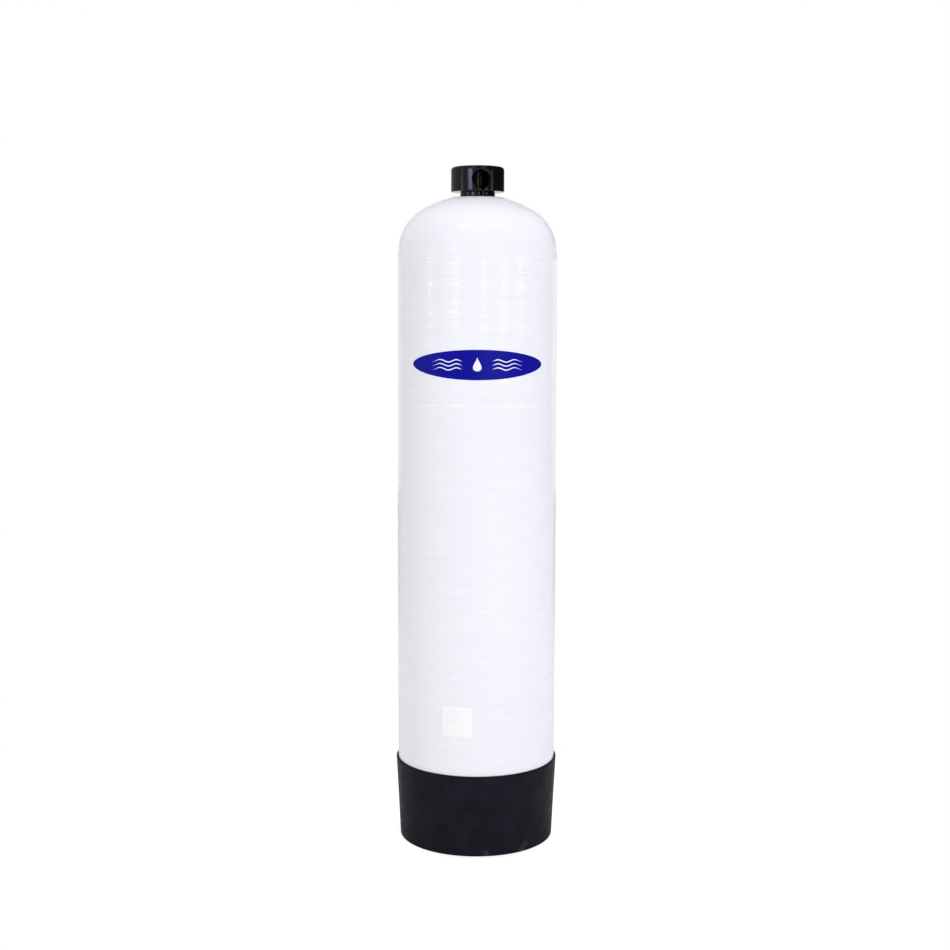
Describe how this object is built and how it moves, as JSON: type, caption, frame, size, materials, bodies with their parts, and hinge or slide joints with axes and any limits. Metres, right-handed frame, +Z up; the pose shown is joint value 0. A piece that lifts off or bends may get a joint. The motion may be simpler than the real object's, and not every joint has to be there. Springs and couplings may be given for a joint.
{
  "type": "salt-free water conditioner",
  "caption": "Tall wound pressure tank in a moulded boot, with a screwed-in in/out head, riser tube, slotted basket, screen and media bed inside.",
  "frame": {"origin": "centre of the boot's underside, on the surface that the object stands on", "axes": "+Z up the tank's axis, -Y to the front where the labels and the inlet port face, +X to the right as seen from the front"},
  "size_m": [0.3425, 0.3426, 1.4157],
  "materials": {
    "boot_plastic": "matte black moulded, faintly mottled",
    "gelcoat": "glossy white resin over fine hoop winding",
    "liner_plastic": "natural moulded",
    "insert_plastic": "satin moulded",
    "head_plastic": "glossy black moulded",
    "seal_rubber": "matte",
    "white_plastic": "satin moulded",
    "adhesive": "cured, satin",
    "gravel": "loose washed gravel",
    "media": "loose beads",
    "blue_film": "printed gloss film",
    "white_film": "satin film"
  },
  "bodies": {
    "root": {"base_boot": "boot_plastic", "boot_adhesive": "adhesive", "tank_winding": "gelcoat", "tank_liner": "liner_plastic", "neck_insert": "insert_plastic", "gravel_bed": "gravel", "media_bed": "media", "lower_basket_cap": "white_plastic", "lower_basket": "white_plastic", "lower_basket_collar": "white_plastic", "riser_tube": "white_plastic", "oval_label": "blue_film", "data_label": "white_film"},
    "seal_carrier": {"neck_o_ring": "seal_rubber"},
    "head": {"head_body": "head_plastic", "riser_o_ring": "seal_rubber", "riser_seal_retainer": "white_plastic", "upper_screen": "white_plastic"}
  },
  "joints": [
    {"name": "head_rise", "type": "slide", "parent": "root", "child": "seal_carrier", "axis": [0, 0, 1], "range_m": [0, 0.0191]},
    {"name": "head_turn", "type": "hinge", "parent": "seal_carrier", "child": "head", "pos_m": [0, 0, 1.3645], "axis": [0, 0, 1], "range_deg": [0, 2160]}
  ],
  "couplings": [
    {"joint": "head_rise", "follows": "head_turn", "m_per_rad": 0.00050531}
  ]
}
